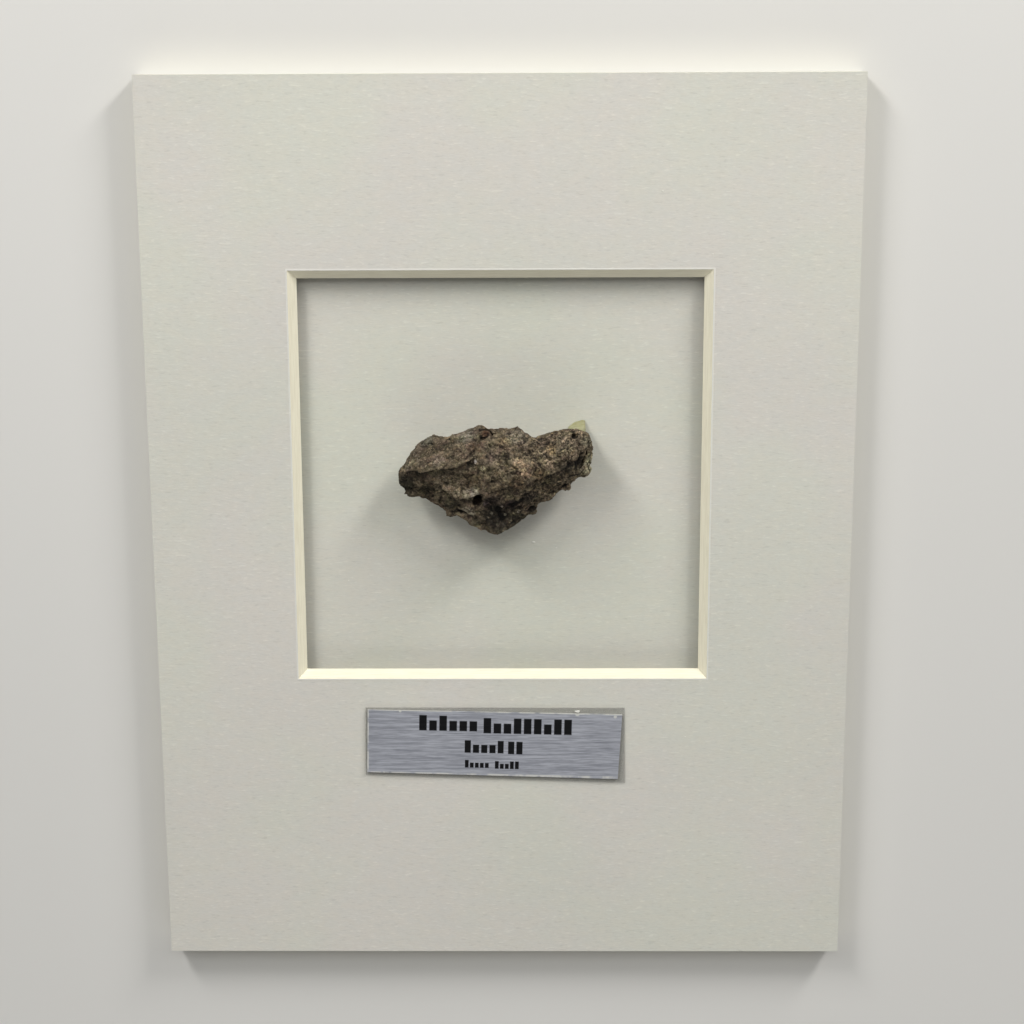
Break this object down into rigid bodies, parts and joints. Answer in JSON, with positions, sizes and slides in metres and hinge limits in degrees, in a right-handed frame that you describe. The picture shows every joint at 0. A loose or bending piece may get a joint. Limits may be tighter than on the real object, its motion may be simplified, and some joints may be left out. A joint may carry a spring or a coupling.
{
  "type": "mounted lunar meteorite",
  "caption": "Jagged grey-brown lunar meteorite fragment glued in the square bevelled window of a pale display mat, with a slim brushed label plate below it.",
  "frame": {"origin": "centre of the backing board's underside", "axes": "+Z out of the mat's face towards the viewer, +Y towards the top of the upright display, +X to the viewer's right"},
  "size_m": [0.118, 0.152, 0.013],
  "materials": {
    "backing_board": "smooth matt paper board",
    "mat_board": "matt paper with faint fibres, cream core",
    "clear_film": "clear adhesive film",
    "brushed_plate": "brushed silver film",
    "stone": "rough grainy stone",
    "adhesive": "dull translucent glue"
  },
  "bodies": {
    "root": {"backing_board": "backing_board", "window_mat": "mat_board", "label_film": "clear_film", "label_plate": "brushed_plate", "meteorite": "stone", "adhesive_dab": "adhesive"}
  },
  "joints": []
}
